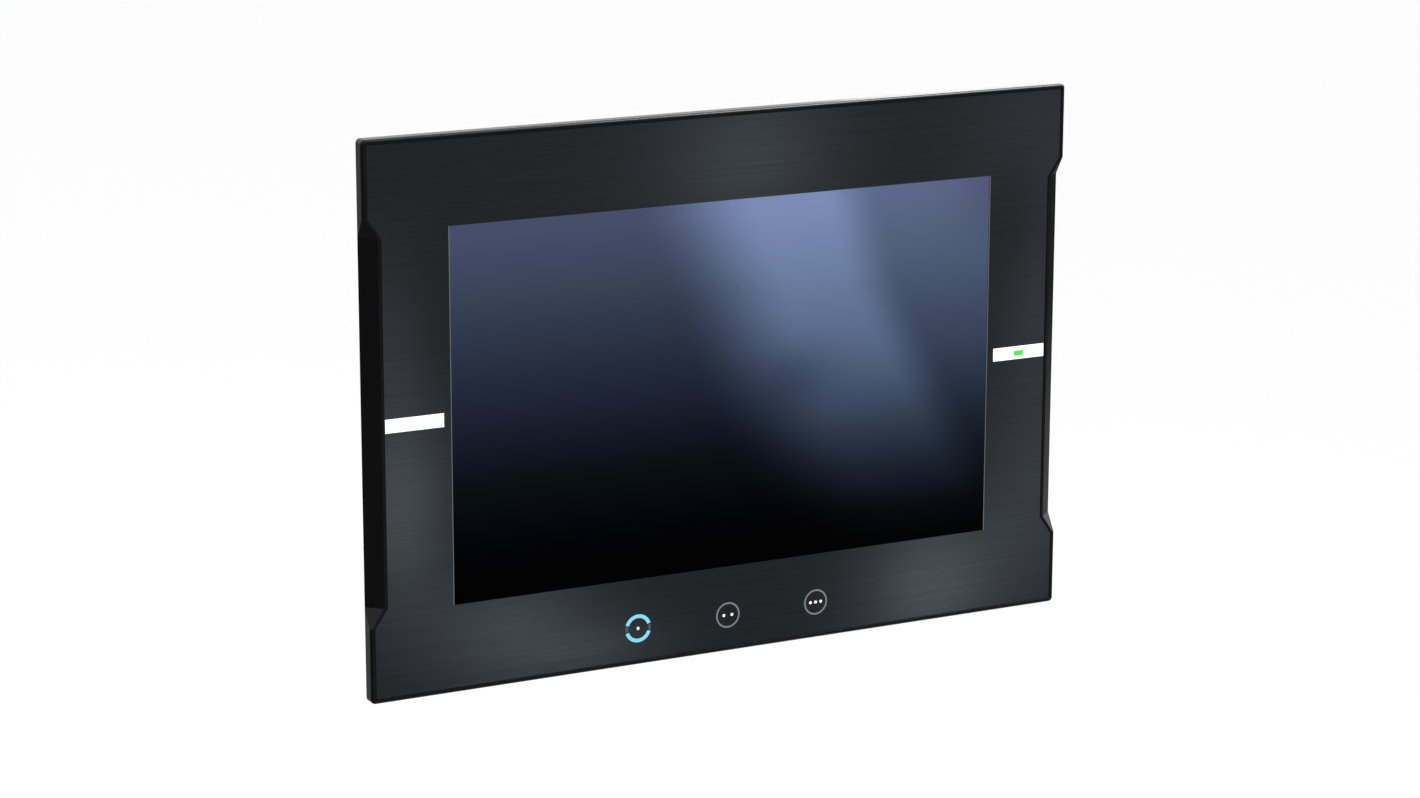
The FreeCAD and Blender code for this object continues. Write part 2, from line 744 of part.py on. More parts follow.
def chassis():
    body = new_body("chassis_plate")
    slab(body, middle("chassis_wide"), middle("chassis_high"), (CHASSIS_FRONT, CHASSIS_BACK))
    thick = (CHASSIS_FRONT, CHASSIS_BACK)
    for x in ("-ribbon_slot_x", "ribbon_slot_x"):
        opening(body, middle("ribbon_slot_wide", x),
                ("chassis_high / 2 - ribbon_slot_high", "chassis_high / 2 + 1"), thick)
    opening(body, middle("ribbon_slot_wide", "ribbon_slot_x"),
            ("-chassis_high / 2 - 1", "-chassis_high / 2 + ribbon_slot_high"), thick)
    holes(body, CHASSIS_SCREWS, "screw_radius + screw_gap", (CHASSIS_FRONT, CHASSIS_BACK))
    node(body, "chassis_plate")
    posts = []
    for x, z in BOARD_POSTS:
        solid = prism("post", "y", 6, "post_radius", (x, CHASSIS_BACK, z), "post_long")
        bore = rod("post_bore", "y", "screw_radius", (x, f"{BOARD_FRONT} - post_bore", z), "post_bore")
        posts.append(cut("post_cut", solid, [bore]))
    group("board_standoffs", posts)
    body = new_body("main_board")
    slab(body, middle("board_wide"), (PLATE_TOP, "board_top"), (BOARD_FRONT, BOARD_BACK))
    holes(body, BOARD_POSTS, "screw_radius + screw_gap", (BOARD_FRONT, BOARD_BACK))
    node(body, "main_board")
    short = screw("inner_screw", "screw_radius - 0.05", "inner_screw_long", "screw_head_radius",
                  "screw_head_high", "screw_drive")
    group("inner_screws", copies(short, [(x, CHASSIS_BACK, z) for x, z in CHASSIS_SCREWS]
                                 + [(x, BOARD_BACK, z) for x, z in BOARD_POSTS]))


def board_parts():
    chip_back = f"({BOARD_BACK} + chip_thick)"
    chip = block("chip", middle("chip_side", "chip_x"), (BOARD_BACK, chip_back), middle("chip_side", "chip_z"))
    node(chip, "processor")
    body = new_body("heat_sink")
    slab(body, middle("sink_wide", "chip_x"), middle("sink_high", "chip_z"),
         (chip_back, f"{chip_back} + sink_base"))
    sketch = new_sketch(body, "XZ_Plane", f"-({chip_back} + sink_base + sink_fin_high)")
    first = "(chip_x - sink_wide / 2)"
    rectangle(sketch, (first, f"{first} + sink_fin_thick"), middle("sink_high", "chip_z"))
    fin = pad(body, sketch, "sink_fin_high + 0.01")
    doc.recompute()
    row(body, fin, "(sink_wide - sink_fin_thick) / (sink_fin_count - 1)", "sink_fin_count")
    node(body, "heat_sink")
    pairs = [(across, up) for across in range(2) for up in range(2)]
    chips = [block("memory_chip", middle("memory_wide", f"memory_x + memory_pitch_x * {across}"),
                   (BOARD_BACK, f"{BOARD_BACK} + memory_thick"),
                   middle("memory_high", f"memory_z + memory_pitch_z * {up}")) for across, up in pairs]
    group("memory_chips", chips)
    feet = [(f"capacitor_x + capacitor_pitch_x * {across}", BOARD_BACK,
             f"capacitor_z + capacitor_pitch_z * {up}") for across, up in pairs]
    cans = [rod("capacitor", "y", "capacitor_radius", foot, "capacitor_long") for foot in feet]
    group("power_capacitors", cans)


# Rear cover, with the connector plate in its floor

def rear_cover():
    body = new_body("rear_cover")
    slab(body, middle(f"2 * {STEP_X}"), middle(f"2 * {STEP_Z}"), ("collar_deep", "step_back"))
    slab(body, middle("case_wide"), middle("case_high"), ("collar_deep + 1", "case_back"))
    dress(body, "Fillet", "case_round", lambda edge: along(edge, "y"))
    dress(body, "Fillet", "cover_wall / 2",
          lambda edge: at(edge.CenterOfMass.y, amount("case_back")) and edge.BoundBox.YLength < 1e-4)
    opening(body, middle(f"2 * ({STEP_X} - cover_wall)"), middle(f"2 * ({STEP_Z} - cover_wall)"),
            ("collar_deep", "step_back - cover_wall"))
    opening(body, middle("case_wide - 2 * cover_wall"), middle("case_high - 2 * cover_wall"),
            ("collar_deep", "case_back - cover_wall"))
    holes(body, COVER_SCREWS, "screw_radius + screw_gap", ("step_back - cover_wall", "step_back"))
    # Opening in the floor for the connectors
    sketch = new_sketch(body, "XY_Plane", f"{PLATE_TOP} + 1")
    rectangle(sketch, ("plate_left + 3", "plate_right - 3"), ("step_back + 1", "plate_back - 4"))
    pocket(body, sketch, "cover_wall + plate_thick + 2")
    # Vents: a row through the top wall and a row through the back
    first = "(-vent_pitch * (vent_count - 1) / 2)"
    sketch = new_sketch(body, "XY_Plane", f"{CASE_Z} + 1")
    rectangle(sketch, middle("vent_wide", first),
              ("step_back + vent_front", "step_back + vent_front + vent_long"))
    slot = pocket(body, sketch, "cover_wall + 2")
    row(body, slot, "vent_pitch", "vent_count")
    for base in ("vent_inset - case_high / 2", "case_high / 2 - vent_inset - vent_long"):
        sketch = new_sketch(body, "XZ_Plane", "-(case_back - cover_wall - 1)")
        rectangle(sketch, middle("vent_wide", first), (base, f"{base} + vent_long"))
        slot = pocket(body, sketch, "cover_wall + 2")
        row(body, slot, "vent_pitch", "vent_count")
    opening(body, middle("door_wide + 2 * door_gap", "battery_x"),
            middle("door_high + 2 * door_gap", "battery_z"), ("case_back - door_thick", "case_back + 1"))
    # Slots for the hooks of the clamps
    sketch = new_sketch(body, "XZ_Plane", "-(clamp_front + clamp_hook_front - fit_gap)")
    for x, z in mirrored_places("clamp_x", f"{STEP_Z} - cover_wall / 2"):
        rectangle(sketch, middle("clamp_hook_wide + 2 * fit_gap", x), middle("cover_wall + 2", z))
    pocket(body, sketch, "clamp_hook_deep + 2 * fit_gap")
    node(body, "rear_cover")
    long = screw("cover_screw", "screw_radius - 0.05", "cover_wall + insert_long", "screw_head_radius",
                 "screw_head_high", "screw_drive")
    group("cover_screws", copies(long, [(x, "step_back", z) for x, z in COVER_SCREWS]))
    inserts = []
    front = "(step_back - cover_wall - insert_long)"
    for x, z in COVER_SCREWS:
        barrel = rod("insert", "y", "insert_radius", (x, front, z), "insert_long")
        bore = rod("insert_bore", "y", "screw_radius", (x, front, z), "insert_long")
        inserts.append(cut("insert_cut", barrel, [bore]))
    group("threaded_inserts", inserts)
    node(block("label", middle("label_wide", "label_x"), ("case_back", "case_back + label_thick"),
               middle("label_high", "label_z")), "rating_label")


def port(name, x, wide, thick, long, walls, deep):
    """A connector's shell on the board, its mouth down in the connector plate."""
    y = (BOARD_BACK, f"{BOARD_BACK} + {thick}")
    shell = block(f"{name}_shell", middle(wide, x), y, (MOUTH, f"{MOUTH} + {long}"))
    hollow = block(f"{name}_hollow", middle(f"{wide} - 2 * {walls[0]}", x),
                   (f"{BOARD_BACK} + {walls[1]}", f"{BOARD_BACK} + {thick} - {walls[1]}"),
                   (f"{MOUTH} - 1", f"{MOUTH} + {deep}"))
    return cut(name, shell, [hollow])


def ports():
    lips = "(ethernet_wide - jack_wide) / 2", "(ethernet_thick - jack_thick) / 2"
    contacts = []
    jacks = []
    for step in range(2):
        x = f"(ethernet_x + ethernet_pitch * {step})"
        jacks.append(port("jack", x, "ethernet_wide", "ethernet_thick", "ethernet_long", lips, "jack_deep"))
        low = f"({BOARD_BACK} + {lips[1]})"
        contacts += [block("contact", middle("contact_wide", f"{x} + contact_pitch * {pin - 3.5}"),
                           (low, f"{low} + contact_thick"), (f"{MOUTH} + 3", f"{MOUTH} + jack_deep"))
                     for pin in range(8)]
    group("ethernet_ports", jacks)
    group("ethernet_contacts", contacts)
    shell = ("usb_shell", "usb_shell")
    tongues = []
    shells = []
    for step in range(2):
        x = f"(usb_x + usb_pitch * {step})"
        shells.append(port("usb", x, "usb_wide", "usb_thick", "usb_long", shell, "usb_long - 1"))
        low = f"({BOARD_BACK} + usb_shell + usb_tongue_gap)"
        tongues.append(block("usb_tongue", middle("usb_wide - 2 * usb_shell - 1.4", x),
                             (low, f"{low} + usb_tongue_thick"),
                             (f"{MOUTH} + tongue_sunk", f"{MOUTH} + usb_long - 1")))
    group("usb_ports", shells)
    walls = "(usb_device_wide - usb_device_way_wide) / 2", "(usb_device_thick - usb_device_way_thick) / 2"
    device = port("usb_device_port", "usb_device_x", "usb_device_wide", "usb_device_thick", "usb_long + 2",
                  walls, "usb_long")
    node(device, "usb_device_port")
    tongues.append(block("usb_device_tongue", middle("usb_device_tongue_wide", "usb_device_x"),
                         middle("usb_device_tongue_thick", f"{BOARD_BACK} + usb_device_thick / 2"),
                         (f"{MOUTH} + tongue_sunk", f"{MOUTH} + usb_long")))
    group("usb_tongues", tongues)


def serial_port():
    mid = f"({BOARD_BACK} + serial_thick / 2)"
    front = f"({PLATE_LOW} - serial_sheet)"
    body = new_body("serial_mouth")

    def slanted(level, grow):
        """A mouth that is narrower on the side away from the board."""
        sketch = new_sketch(body, "XY_Plane", level)
        wide, thick = f"(serial_mouth_wide / 2 - {grow})", f"(serial_mouth_thick / 2 - {grow})"
        lean = "serial_mouth_thick * serial_slope"
        outline(sketch, [(f"serial_x - {wide}", f"{mid} - {thick}"),
                         (f"serial_x + {wide}", f"{mid} - {thick}"),
                         (f"serial_x + {wide} - {lean}", f"{mid} + {thick}"),
                         (f"serial_x - {wide} + {lean}", f"{mid} + {thick}")])
        return sketch

    pad(body, slanted(f"{PLATE_LOW} - serial_long", "0"), "serial_long")
    pocket(body, slanted(f"{PLATE_LOW} + 1", "serial_shell"), "serial_long + 3")
    places = [f"serial_x {sign} serial_post_pitch / 2" for sign in "+-"]
    flange = block("serial_flange", middle("serial_wide", "serial_x"), middle("serial_thick", mid),
                   (front, PLATE_LOW))
    hollow = block("serial_hole", middle("serial_mouth_wide - 4", "serial_x"),
                   middle("serial_mouth_thick - 2", mid), (f"{PLATE_LOW} - 2", f"{PLATE_LOW} + 2"))
    screws = [rod("serial_screw_hole", "z", "screw_radius + fit_gap", (x, mid, f"{PLATE_LOW} - 2"), "4")
              for x in places]
    node(fuse("serial_metal", [body, cut("serial_flange_cut", flange, [hollow] + screws)]), "serial_shell")
    base = block("serial_base", middle("serial_mouth_wide - 4.4", "serial_x"),
                 middle("serial_mouth_thick - 2.4", mid), (f"{PLATE_LOW} - 1.4", f"{PLATE_LOW} + 8"))
    pins = [rod("serial_pin", "z", "serial_pin_radius",
                (f"serial_x + serial_pin_pitch * {pin - (count - 1) / 2}", f"{mid} {side} serial_pin_row",
                 f"{PLATE_LOW} - 5"), "5")
            for count, side in ((5, "-"), (4, "+")) for pin in range(count)]
    node(fuse("serial_core", [base] + pins), "serial_insert")
    posts = []
    for x in places:
        low = f"({front} - serial_post_long)"
        head = prism("serial_post", "z", 6, "serial_post_radius", (x, mid, low), "serial_post_long")
        shank = rod("serial_post_shank", "z", "screw_radius", (x, mid, front), "7")
        bore = rod("serial_post_bore", "z", "screw_radius - fit_gap", (x, mid, low), "4")
        posts.append(cut("serial_post_cut", fuse("serial_post_solid", [head, shank]), [bore]))
    group("serial_posts", posts)


def power_port():
    mid = f"({BOARD_BACK} + socket_thick / 2)"
    inner_wide, inner_thick = "(socket_wide - 2 * socket_wall)", "(socket_thick - 2 * socket_wall)"
    shell = block("power_shell", middle("socket_wide", "power_x"), middle("socket_thick", mid),
                  (MOUTH, f"{MOUTH} + socket_long"))
    hollow = block("power_hollow", middle(inner_wide, "power_x"), middle(inner_thick, mid),
                   (f"{MOUTH} - 1", f"{MOUTH} + plug_depth + plug_gap + 0.1"))
    places = [f"(power_x + pin_pitch * {step})" for step in (-1, 0, 1)]
    pins = [block("power_pin", middle("pin_wide", x), middle("pin_wide", mid),
                  (f"{MOUTH} + 2", f"{MOUTH} + socket_long - 0.5")) for x in places]
    group("power_pins", pins)
    node(cut("power_shell_cut", shell, [hollow] + pins), "power_socket")
    insert = block("plug_insert", middle(f"{inner_wide} - 2 * plug_slack", "power_x"),
                   middle(f"{inner_thick} - 2 * plug_slack", mid),
                   (f"{MOUTH} - 0.5", f"{MOUTH} + plug_depth"))
    grip_low = f"({MOUTH} - plug_gap - plug_grip_long)"
    front = f"({mid} - socket_thick / 2)"
    top = f"({front} + plug_grip_thick)"
    grip = block("plug_grip", middle("socket_wide", "power_x"), (f"{front} + plug_gap", top),
                 (grip_low, f"{MOUTH} - plug_gap"))
    tools = []
    screws = []
    for x in places:
        tools.append(block("plug_contact_way", middle("pin_wide + 0.5", x), middle("pin_wide + 0.5", mid),
                           (f"{MOUTH} + 0.6", f"{MOUTH} + plug_depth + 1")))
        tools.append(block("plug_wire_way", middle("wire_way_wide", x),
                           middle("wire_way_thick", f"{mid} - 1.2"),
                           (f"{grip_low} - 1", f"{grip_low} + wire_way_deep")))
        head_low = f"({top} - terminal_sunk - terminal_high)"
        centre = f"({grip_low} + terminal_z)"
        tools.append(rod("plug_screw_way", "y", "terminal_radius + screw_gap",
                         (x, f"{head_low} - 0.1", centre), "4"))
        head = rod("terminal_head", "y", "terminal_radius", (x, head_low, centre), "terminal_high")
        slot = block("terminal_groove", middle("terminal_slot", x),
                     (f"{top} - terminal_sunk - 0.6", f"{top} + 1"), middle("4", centre))
        screws.append(cut("terminal_screw", head, [slot]))
    node(cut("power_plug", fuse("plug_solid", [insert, grip]), tools), "power_plug")
    group("terminal_screws", screws)


def card_reader():
    front = f"({BOARD_BACK} + card_wall + card_slack)"
    card_y = (front, f"({front} + card_thick)")
    card = new_body("memory_card")
    slab(card, middle("card_wide", "card_x"), (f"{MOUTH} - card_proud", f"{MOUTH} - card_proud + card_long"),
         card_y)
    dress(card, "Chamfer", "card_thick * 1.5",
          lambda edge: along(edge, "y") and edge.CenterOfMass.x > amount("card_x")
          and edge.CenterOfMass.z > amount(f"{MOUTH} + 5"))
    node(card, "memory_card")
    back = f"({MOUTH} + card_long - card_proud)"
    frame = block("card_frame", middle("card_wide + 2 * card_side", "card_x"),
                  (BOARD_BACK, f"{BOARD_BACK} + 2 * card_wall + 2 * card_slack + card_thick"),
                  (MOUTH, f"{back} + 2"))
    way = block("card_way", middle("card_wide + 2 * card_slack", "card_x"),
                (f"{card_y[0]} - card_slack", f"{card_y[1]} + card_slack"), (f"{MOUTH} - 1", f"{back} + 0.4"))
    node(cut("card_socket", frame, [way]), "card_socket")


def small_controls():
    """The reset button and the mode slider, each with its switch on the board."""
    mid = f"({BOARD_BACK} + switch_deep / 2)"
    low = f"({PLATE_TOP} + 1)"
    body_y, body_z = (BOARD_BACK, f"{BOARD_BACK} + switch_deep"), (low, f"{low} + switch_deep")
    base = block("reset_base", middle("reset_wide", "reset_x"), body_y, body_z)
    bore = rod("reset_bore", "z", "reset_radius + 0.1", ("reset_x", mid, f"{low} - 1"), "5")
    node(cut("reset_switch", base, [bore]), "reset_switch")
    tip = f"({PLATE_LOW} - 0.4)"
    stem = rod("reset_stem", "z", "reset_radius", ("reset_x", mid, tip),
               f"{low} + 4 - reset_travel - fit_gap - {tip}")
    node(stem, "reset_button")
    base = block("mode_base", middle("mode_wide", "mode_x"), body_y, body_z)
    first = "(mode_x - mode_travel / 2)"
    reach = "(slider_wide / 2 + slider_gap)"
    way = block("mode_way", (f"{first} - {reach}", f"{first} + mode_travel + {reach}"),
                middle("slider_wide + 0.4", mid), (f"{low} - 1", f"{low} + 3"))
    node(cut("mode_switch", base, [way]), "mode_switch")
    node(block("mode_slider", middle("slider_wide", first), middle("slider_wide", mid),
               (f"{PLATE_LOW} - 1.6", f"{low} + 2.8")), "mode_slider")


def connector_plate():
    body = new_body("connector_plate")
    sketch = new_sketch(body, "XY_Plane", PLATE_LOW)
    rectangle(sketch, ("plate_left", "plate_right"), (f"{BOARD_BACK} - plate_lap", "plate_back"))
    pad(body, sketch, "plate_thick")
    sketch = new_sketch(body, "XY_Plane", f"{PLATE_TOP} + 1")

    def cutout(x, wide, thick):
        rectangle(sketch, middle(f"{wide} + 2 * port_gap", x),
                  (f"{BOARD_BACK} - port_gap", f"{BOARD_BACK} + {thick} + port_gap"))

    cutout("power_x", "socket_wide", "socket_thick")
    for step in range(2):
        cutout(f"ethernet_x + ethernet_pitch * {step}", "ethernet_wide", "ethernet_thick")
        cutout(f"usb_x + usb_pitch * {step}", "usb_wide", "usb_thick")
    cutout("usb_device_x", "usb_device_wide", "usb_device_thick")
    cutout("card_x", "(card_wide + 2 * card_side)", "(2 * card_wall + 2 * card_slack + card_thick)")
    serial_y = f"({BOARD_BACK} + serial_thick / 2)"
    switch_y = f"({BOARD_BACK} + switch_deep / 2)"
    rectangle(sketch, middle("serial_mouth_wide - 3.8", "serial_x"),
              middle("serial_mouth_thick - 1.8", serial_y))
    rectangle(sketch, middle("mode_travel + slider_wide + 0.8", "mode_x"),
              middle("slider_wide + 0.6", switch_y))
    circle(sketch, "reset_x", switch_y, "reset_radius + screw_gap")
    circle(sketch, "earth_x", "earth_y", "big_screw_radius + screw_gap")
    for sign in "+-":
        circle(sketch, f"serial_x {sign} serial_post_pitch / 2", serial_y, "screw_radius + 0.1")
    pocket(body, sketch, "plate_thick + 2")
    node(body, "connector_plate")


def earth_terminal():
    """A cross-slotted screw with a washer held under its head."""
    washer_low = f"({PLATE_LOW} - washer_thick)"
    head_low = f"({washer_low} - earth_head_high)"
    washer = rod("earth_disc", "z", "washer_radius", ("earth_x", "earth_y", washer_low), "washer_thick")
    head = rod("earth_head", "z", "earth_head_radius", ("earth_x", "earth_y", head_low), "earth_head_high")
    shank = rod("earth_shank", "z", "big_screw_radius", ("earth_x", "earth_y", washer_low), "earth_long")
    cross = ("earth_slot_long", "earth_slot_wide")
    slots = [block("earth_slot", middle(a, "earth_x"), middle(b, "earth_y"),
                   (f"{head_low} - 1", f"{head_low} + earth_slot_deep")) for a, b in (cross, cross[::-1])]
    node(cut("earth_bolt", fuse("earth_solid", [head, washer, shank]), slots), "earth_screw")


def battery():
    inner = "(case_back - door_thick - door_gap)"
    front = f"({inner} - well_deep)"
    shell = block("well_shell", middle("well_wide", "battery_x"), (front, inner),
                  middle("well_high", "battery_z"))
    hollow = block("well_hollow", middle("well_wide - 2 * well_wall", "battery_x"),
                   (f"{front} + well_wall", f"{inner} + 1"), middle("well_high - 2 * well_wall", "battery_z"))
    node(cut("battery_well", shell, [hollow]), "battery_well")
    left, right = middle("battery_long", "battery_x")
    mid = f"({front} + well_wall + battery_radius + 0.3)"
    can = rod("battery_can", "x", "battery_radius", (left, mid, "battery_z"), "battery_long - 1")
    cap = rod("battery_cap", "x", "battery_cap_radius", (f"{right} - 1", mid, "battery_z"), "1")
    node(fuse("battery_cell_solid", [can, cap]), "battery_cell")


def battery_door():
    """A door with its knuckle along the top edge, on a pin that the cover holds."""
    hinge_z = "(battery_z + door_high / 2 - knuckle_radius)"
    hinge_y = "(case_back - knuckle_radius)"
    low = "(battery_z - door_high / 2)"
    left = "(battery_x - door_wide / 2)"
    leaf = block("door_leaf", middle("door_wide", "battery_x"),
                 ("case_back - door_thick + door_sunk", "case_back"), (low, hinge_z))
    knuckle = rod("door_knuckle", "x", "knuckle_radius", (left, hinge_y, hinge_z), "door_wide")
    bore = rod("door_bore", "x", "pin_radius + pin_slack", (f"{left} - 1", hinge_y, hinge_z), "door_wide + 2")
    grip = block("door_grip", middle("door_grip_wide", "battery_x"),
                 ("case_back - door_grip_deep", "case_back + 1"), (f"{low} + 2", f"{low} + 2 + door_grip_high"))
    node(cut("door_solid", fuse("door_parts", [leaf, knuckle]), [bore, grip]), "battery_door")
    pin = rod("hinge_pin", "x", "pin_radius", (f"{left} - door_gap", hinge_y, hinge_z),
              "door_wide + 2 * door_gap")
    node(pin, "door_pin")


def clamps():
    brackets = []
    for number, (x, z) in enumerate(mirrored_places("clamp_x", CLAMP_Z), start=1):
        below = z.startswith("-")

        def mirrored(low, high):
            return (f"-{high}", f"-{low}") if below else (low, high)

        low = f"({STEP_Z} + 0.1)"
        arm = block(f"clamp_arm_{number}", middle("clamp_wide", x), ("clamp_front", "clamp_back"),
                    mirrored(low, f"({CLAMP_Z} + clamp_reach)"))
        hook_front = "(clamp_front + clamp_hook_front)"
        hook = block(f"clamp_hook_{number}", middle("clamp_hook_wide", x),
                     (hook_front, f"{hook_front} + clamp_hook_deep"),
                     mirrored(f"({STEP_Z} - cover_wall - 1)", f"({low} + 0.5)"))
        thread = rod(f"clamp_thread_{number}", "y", "big_screw_radius + clamp_slack",
                     (x, "clamp_front - 1", z), "clamp_back - clamp_front + 2")
        brackets.append(cut(f"clamp_body_{number}", fuse(f"clamp_solid_{number}", [arm, hook]), [thread]))
        foot_back = "(foot_front + foot_thick)"
        disc = rod(f"foot_disc_{number}", "y", "foot_radius", (x, "foot_front", z), "foot_thick")
        seat = rod(f"foot_seat_{number}", "y", "seat_radius", (x, f"{foot_back} - seat_deep", z),
                   "foot_thick")
        node(cut(f"foot_{number}", disc, [seat]), f"clamp_foot_{number}")
        shank_front = f"({foot_back} + neck_gap)"
        neck = rod(f"neck_{number}", "y", "neck_radius", (x, f"{shank_front} - seat_deep", z), "foot_thick")
        shank = rod(f"shank_{number}", "y", "big_screw_radius", (x, shank_front, z), "clamp_screw_long")
        end = f"({shank_front} + clamp_screw_long)"
        key = prism(f"key_{number}", "y", 6, "hex_radius", (x, f"{end} - hex_deep", z), "hex_deep + 1")
        node(cut(f"set_screw_{number}", fuse(f"set_screw_solid_{number}", [neck, shank]), [key]),
             f"clamp_screw_{number}")
    group("clamp_brackets", brackets)


front_frame()
front_overlay()
screen()
keys_and_status()
ribbons()
chassis()
board_parts()
rear_cover()
ports()
serial_port()
power_port()
card_reader()
small_controls()
connector_plate()
earth_terminal()
battery()
battery_door()
clamps()
doc.recompute()

for item in doc.Objects:
    if any(word in ("Invalid", "Error") for word in item.State):
        raise RuntimeError(f"{item.Name} failed: {item.State}")
for item in NODES:
    if item.Shape.isNull() or not item.Shape.isValid() or not item.Shape.Solids:
        raise RuntimeError(f"{item.Label} has no valid solid")
os.makedirs("parts", exist_ok=True)
for item in NODES:
    item.Shape.exportStep(f"parts/{item.Label}.step")
print(len(NODES), "nodes")
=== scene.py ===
import json
import math

import bmesh
import bpy
from mathutils import Matrix, Vector


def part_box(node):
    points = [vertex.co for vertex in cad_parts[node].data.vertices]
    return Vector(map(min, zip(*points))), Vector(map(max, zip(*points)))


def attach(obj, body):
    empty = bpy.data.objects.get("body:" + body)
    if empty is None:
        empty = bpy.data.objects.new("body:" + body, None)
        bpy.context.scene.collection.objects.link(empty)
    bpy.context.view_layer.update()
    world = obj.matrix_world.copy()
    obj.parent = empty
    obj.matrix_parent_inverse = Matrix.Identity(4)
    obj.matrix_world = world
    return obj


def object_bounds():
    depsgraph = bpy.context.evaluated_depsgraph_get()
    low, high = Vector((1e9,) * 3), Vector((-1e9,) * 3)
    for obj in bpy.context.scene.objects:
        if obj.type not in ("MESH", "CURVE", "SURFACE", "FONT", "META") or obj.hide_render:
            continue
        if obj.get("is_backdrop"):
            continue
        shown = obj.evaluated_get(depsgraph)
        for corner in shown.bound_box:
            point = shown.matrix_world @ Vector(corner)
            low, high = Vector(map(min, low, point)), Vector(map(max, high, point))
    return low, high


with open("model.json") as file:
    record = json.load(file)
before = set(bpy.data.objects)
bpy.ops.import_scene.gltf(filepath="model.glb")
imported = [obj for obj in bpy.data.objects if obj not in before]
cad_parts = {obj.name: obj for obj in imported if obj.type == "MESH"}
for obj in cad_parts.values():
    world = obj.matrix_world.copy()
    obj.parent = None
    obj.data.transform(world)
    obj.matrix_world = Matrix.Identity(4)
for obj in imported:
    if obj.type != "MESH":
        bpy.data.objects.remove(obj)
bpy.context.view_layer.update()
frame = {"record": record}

MM = 0.001
SCENE = bpy.context.scene
SLOTS = {part["node"]: part["material_slot"] for part in frame["record"]["subparts"]}

# The view: a long lens, turned to the right and tilted down, aimed near the panel's middle
LENS_MM = 95.294
SENSOR_MM = 36.0
YAW = math.radians(27.3712)
PITCH = math.radians(13.5967)
ROLL = math.radians(0.1375)
DISTANCE = 1638.7 * MM
AIM_RIGHT = 8.15 * MM
AIM_UP = 5.90 * MM

VIEW_FAR = 200.0

# The floor under the panel, the even light all round, and the lamps: place, size and power
FLOOR_DROP = 1.1
FLOOR_HALF = 30.0
SKY_LIGHT = 1.03
LAMPS = (("top_light", (0.9, -0.3, 1.2), 0.8, 34.0),
         ("right_light", (1.3, -0.9, 0.5), 0.7, 6.0),
         ("rim_light", (1.1, 1.35, 0.5), 0.5, 1.6))

# Print on the film
INK = 0.02 * MM
STRIPE_HIGH = 6.0 * MM
STRIPE_LOW = -0.45 * MM
STRIPE_INNER = 134.9 * MM
STRIPE_OUTER = 161.6 * MM
BORDER = 0.35 * MM
GASKET_LAP = 1.5 * MM

# The three keys, each a ring with dots in it. The first key's ring is two lit arcs with gaps between them
KEY_PITCH = 44.3 * MM
KEY_Z = -104.4 * MM
ARC_OUTER = 6.35 * MM
ARC_INNER = 4.7 * MM
ARC_FROM = 18
ARC_TO = 162
GAP_OUTER = 6.2 * MM
GAP_INNER = 4.9 * MM
GAP_HALF = 13
RING_OUTER = 5.85 * MM
RING_INNER = 5.1 * MM
DOT_RADIUS = 0.68 * MM
DOT_PLACES = ((0.0,), (-2.0 * MM, 2.0 * MM), (-2.6 * MM, 0.0, 2.6 * MM))

# The blank rules and the filled field on the label, as shares of its width and height
LABEL_MARGIN = 0.06
LABEL_RULES = 5
LABEL_FIRST = 0.12
LABEL_STEP = 0.15
LABEL_RULE_HIGH = 0.25 * MM
FIELD_RIGHT = 0.42
FIELD_TOP = 0.08
FIELD_LOW = 0.18

# The painted reflection on the screen, given out as glow: how far it reaches up and down, and its colours at
# heights in millimetres
SCREEN_EDGE = 82 * MM
SCREEN_REFLECTION_FADE = ((-76, (0.0, 0.0, 0.0)), (-64, (0.006, 0.006, 0.02)), (-49, (0.022, 0.034, 0.058)),
               (-28, (0.05, 0.07, 0.1)), (-7, (0.097, 0.122, 0.177)), (21, (0.16, 0.188, 0.258)),
               (49, (0.22, 0.262, 0.341)), (77, (0.28, 0.306, 0.415)))

# The painted highlight streak in the screen's painted reflection: its colour, the height it starts from and
# bends
#  at, how fast it curves, the soft edges on its left and right and how its lower end fades, and two soft
#  dips in it
STREAK_COLOR = (0.205, 0.242, 0.30)
STREAK_TOP = 77 * MM
STREAK_CURVE = 2.8
STREAK_UPPER = 42 * MM
STREAK_LOWER = 40 * MM
LEFT_SLANT = 0.35
RIGHT_SLANT = 0.3
RIGHT_SPREAD = 0.55
LEFT_EDGE = (-34 * MM, 30 * MM)
RIGHT_EDGE = (57 * MM, 87 * MM)
RIGHT_LEVEL = 0.42
STREAK_END = (-97 * MM, 20 * MM)
STREAK_DIPS = (((138, 88), (24, 30), 0.7), ((32, 0), (22, 16), 0.3))

# The glow curve, from the painted reflection's values to light
GLOW_OFFSET = 0.055
GLOW_POWER = 2.4

# The film's tone and tint, and its soft patches of painted sheen: centre and spread in millimetres, and how
# much lighter
FILM_TONE = 0.129
FILM_TINT = (0.945, 1.02, 1.085)
FILM_POWER = 2.2
FILM_PAINTED_SHEEN = (((10, 100), (45, 40), 0.075), ((-75, 100), (70, 30), 0.005), ((155, 95), (40, 50), 0.035),
              ((-156, -36), (26, 46), 0.11), ((-160, 35), (18, 40), 0.04), ((-105, -96), (42, 30), 0.095),
              ((-62, -112), (34, 14), 0.055), ((104, -104), (38, 36), 0.12), ((162, -62), (34, 60), 0.06),
              ((160, 22), (20, 38), 0.035), ((144, 66), (16, 30), -0.02))

# The frame's painted shine: plain faces, the highlight painted on upper edges, the shade painted on left and
# right flanks
FRAME_SHINE = 0.35
UPPER_GAIN = 1.0
LEFT_LOSS = 0.2
RIGHT_LOSS = (0.29, 0.345)
RIGHT_HEIGHTS = (-90 * MM, 30 * MM)

# How rough the lit lenses are
LENS_ROUGH = 0.4


# Materials: every one is a principled shader with grain, soft edges and wear from its nodes

